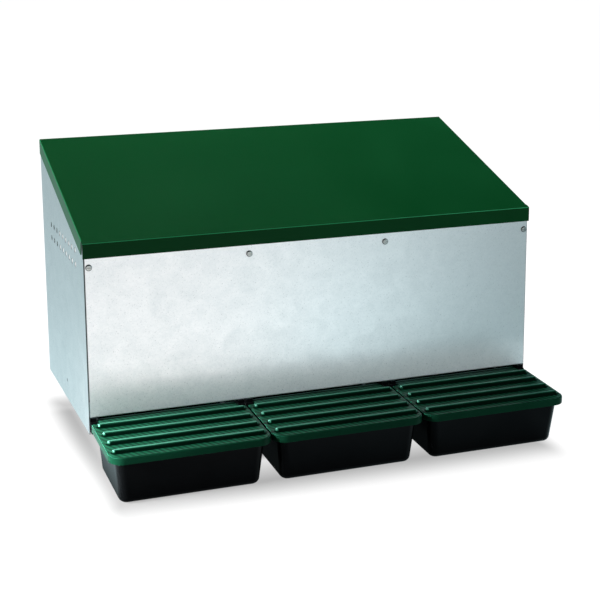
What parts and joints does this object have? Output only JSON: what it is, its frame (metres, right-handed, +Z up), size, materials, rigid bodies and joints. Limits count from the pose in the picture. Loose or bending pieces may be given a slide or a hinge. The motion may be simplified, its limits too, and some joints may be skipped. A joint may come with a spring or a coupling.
{
  "type": "chicken nesting box",
  "caption": "Galvanised sheet nesting box for hens with a hinged sloping roof, partitioned nests open at the rear, and pull-out egg trays with hinged ribbed lids along the front.",
  "frame": {"origin": "centre of the rectangle of wall holes, on the rear plane that lies against the wall", "axes": "+X along the box from the left nest to the right one, +Y out of the rear into the wall, +Z up; the trays and lids are at the front, towards -Y"},
  "size_m": [0.9032, 0.5914, 0.5707],
  "materials": {
    "galvanised_sheet": "galvanised",
    "painted_roof": "satin",
    "zinc_fasteners": "zinc plated",
    "mat_plastic": "matte",
    "tray_plastic": "gloss",
    "lid_plastic": "gloss"
  },
  "bodies": {
    "box": {"left_side_panel": "galvanised_sheet", "right_side_panel": "galvanised_sheet", "front_panel": "galvanised_sheet", "left_divider": "galvanised_sheet", "right_divider": "galvanised_sheet", "rear_header": "galvanised_sheet", "rear_sill": "galvanised_sheet", "left_nest_floor": "galvanised_sheet", "centre_nest_floor": "galvanised_sheet", "right_nest_floor": "galvanised_sheet", "left_tray_left_runner": "galvanised_sheet", "left_tray_right_runner": "galvanised_sheet", "centre_tray_left_runner": "galvanised_sheet", "centre_tray_right_runner": "galvanised_sheet", "right_tray_left_runner": "galvanised_sheet", "right_tray_right_runner": "galvanised_sheet", "left_nest_mat": "mat_plastic", "centre_nest_mat": "mat_plastic", "right_nest_mat": "mat_plastic", "front_panel_screws": "zinc_fasteners", "front_panel_nuts": "zinc_fasteners", "divider_rivets": "zinc_fasteners", "hinge_rivets": "zinc_fasteners", "left_hinge_frame_leaf": "zinc_fasteners", "left_hinge_pin": "zinc_fasteners", "right_hinge_frame_leaf": "zinc_fasteners", "right_hinge_pin": "zinc_fasteners"},
    "roof": {"roof": "painted_roof", "left_hinge_roof_leaf": "zinc_fasteners", "right_hinge_roof_leaf": "zinc_fasteners"},
    "left_tray": {"left_egg_tray": "tray_plastic", "left_lid_pins": "tray_plastic"},
    "left_lid": {"left_tray_lid": "lid_plastic"},
    "centre_tray": {"centre_egg_tray": "tray_plastic", "centre_lid_pins": "tray_plastic"},
    "centre_lid": {"centre_tray_lid": "lid_plastic"},
    "right_tray": {"right_egg_tray": "tray_plastic", "right_lid_pins": "tray_plastic"},
    "right_lid": {"right_tray_lid": "lid_plastic"}
  },
  "joints": [
    {"name": "roof_hinge", "type": "hinge", "parent": "box", "child": "roof", "pos_m": [0, -0.0085, 0.2446], "axis": [-1, 0, 0], "range_deg": [0, 100]},
    {"name": "left_tray_slide", "type": "slide", "parent": "box", "child": "left_tray", "axis": [0, -1, 0], "range_m": [0, 0.06]},
    {"name": "left_lid_hinge", "type": "hinge", "parent": "left_tray", "child": "left_lid", "pos_m": [-0.3, -0.4195, -0.22], "axis": [-1, 0, 0], "range_deg": [0, 60]},
    {"name": "centre_tray_slide", "type": "slide", "parent": "box", "child": "centre_tray", "axis": [0, -1, 0], "range_m": [0, 0.06]},
    {"name": "centre_lid_hinge", "type": "hinge", "parent": "centre_tray", "child": "centre_lid", "pos_m": [0, -0.4195, -0.22], "axis": [-1, 0, 0], "range_deg": [0, 60]},
    {"name": "right_tray_slide", "type": "slide", "parent": "box", "child": "right_tray", "axis": [0, -1, 0], "range_m": [0, 0.06]},
    {"name": "right_lid_hinge", "type": "hinge", "parent": "right_tray", "child": "right_lid", "pos_m": [0.3, -0.4195, -0.22], "axis": [-1, 0, 0], "range_deg": [0, 60]}
  ]
}
